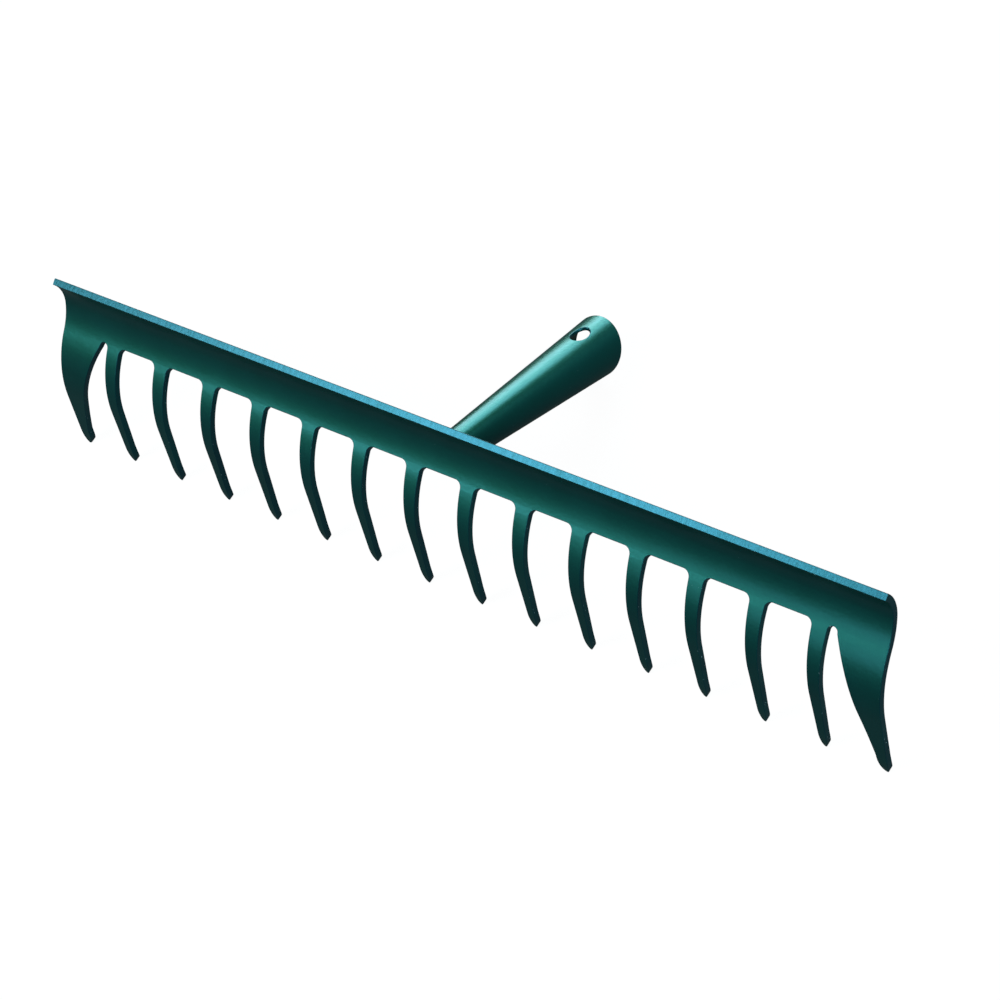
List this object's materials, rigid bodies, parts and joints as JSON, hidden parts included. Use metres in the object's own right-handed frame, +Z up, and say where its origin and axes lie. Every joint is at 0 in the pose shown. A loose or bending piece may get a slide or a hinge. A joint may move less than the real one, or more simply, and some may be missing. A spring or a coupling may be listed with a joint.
{
  "type": "garden rake head",
  "caption": "Pressed steel rake head with curved teeth and a tapered rear socket that takes a straight handle, for raking and levelling soil.",
  "frame": {"origin": "middle of the base of the bounding box, with the head lying on its tooth points and on the lower rim of the socket", "axes": "+X along the comb, +Y from the teeth back towards the handle, +Z up"},
  "size_m": [0.4088, 0.1266, 0.0742],
  "materials": {
    "green_paint": "glossy deep green enamel with a faint orange-peel texture"
  },
  "bodies": {
    "root": {"rake_comb": "green_paint", "handle_socket": "green_paint", "weld_left": "green_paint", "weld_right": "green_paint"}
  },
  "joints": []
}
